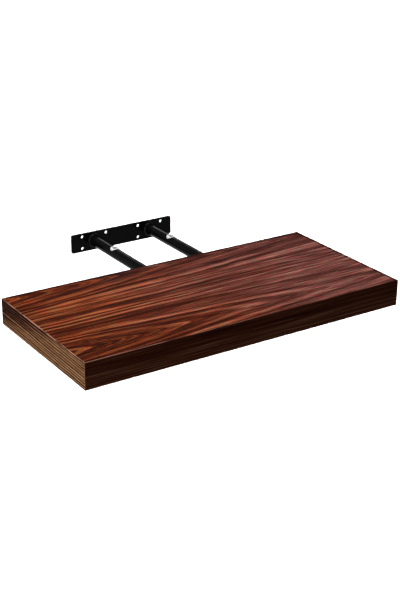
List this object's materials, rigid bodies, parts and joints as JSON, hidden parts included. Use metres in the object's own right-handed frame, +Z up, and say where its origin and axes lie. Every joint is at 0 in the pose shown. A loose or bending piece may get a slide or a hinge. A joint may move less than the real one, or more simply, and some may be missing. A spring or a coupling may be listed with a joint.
{
  "type": "floating wall shelf",
  "caption": "Floating wall shelf: a hollow-core, wood-effect board that slides onto the rods of a flat steel wall bracket with levelling screws.",
  "frame": {"origin": "middle of the wall plate's back face, which lies on the wall", "axes": "+Y into the wall, along the rods; +Z up; +X to the right for someone who faces the wall"},
  "size_m": [0.5, 0.413, 0.038],
  "materials": {
    "powder_coated_steel": "black powder coat, satin",
    "plug_plastic": "moulded",
    "zinc_plated_steel": "bright zinc plate",
    "walnut_decor": "printed walnut decor, satin",
    "walnut_edging": "printed walnut decor, satin",
    "raw_fibreboard": "sawn, unfinished",
    "honeycomb_paper": "kraft paper"
  },
  "bodies": {
    "bracket": {"wall_plate": "powder_coated_steel", "rod_tube_left": "powder_coated_steel", "rod_tube_right": "powder_coated_steel", "weld_bead_left": "powder_coated_steel", "weld_bead_right": "powder_coated_steel", "tip_plug_left": "plug_plastic", "tip_plug_right": "plug_plastic", "screw_bush_left": "zinc_plated_steel", "screw_bush_right": "zinc_plated_steel"},
    "board": {"top_skin": "walnut_decor", "bottom_skin": "walnut_decor", "front_band": "walnut_edging", "back_band": "walnut_edging", "left_band": "walnut_edging", "right_band": "walnut_edging", "front_rail": "raw_fibreboard", "back_rail": "raw_fibreboard", "left_end_rail": "raw_fibreboard", "right_end_rail": "raw_fibreboard", "rod_block_left": "raw_fibreboard", "rod_block_right": "raw_fibreboard", "core_left": "honeycomb_paper", "core_middle": "honeycomb_paper", "core_right": "honeycomb_paper"},
    "screw_left": {"levelling_screw_left": "zinc_plated_steel"},
    "screw_right": {"levelling_screw_right": "zinc_plated_steel"}
  },
  "joints": [
    {"name": "board_slide", "type": "slide", "parent": "bracket", "child": "board", "axis": [0, -1, 0], "range_m": [-0.178, 0.04]},
    {"name": "levelling_screw_left_lift", "type": "slide", "parent": "bracket", "child": "screw_left", "axis": [0, 0, 1], "range_m": [0, 0.0075]},
    {"name": "levelling_screw_right_lift", "type": "slide", "parent": "bracket", "child": "screw_right", "axis": [0, 0, 1], "range_m": [0, 0.0075]}
  ]
}
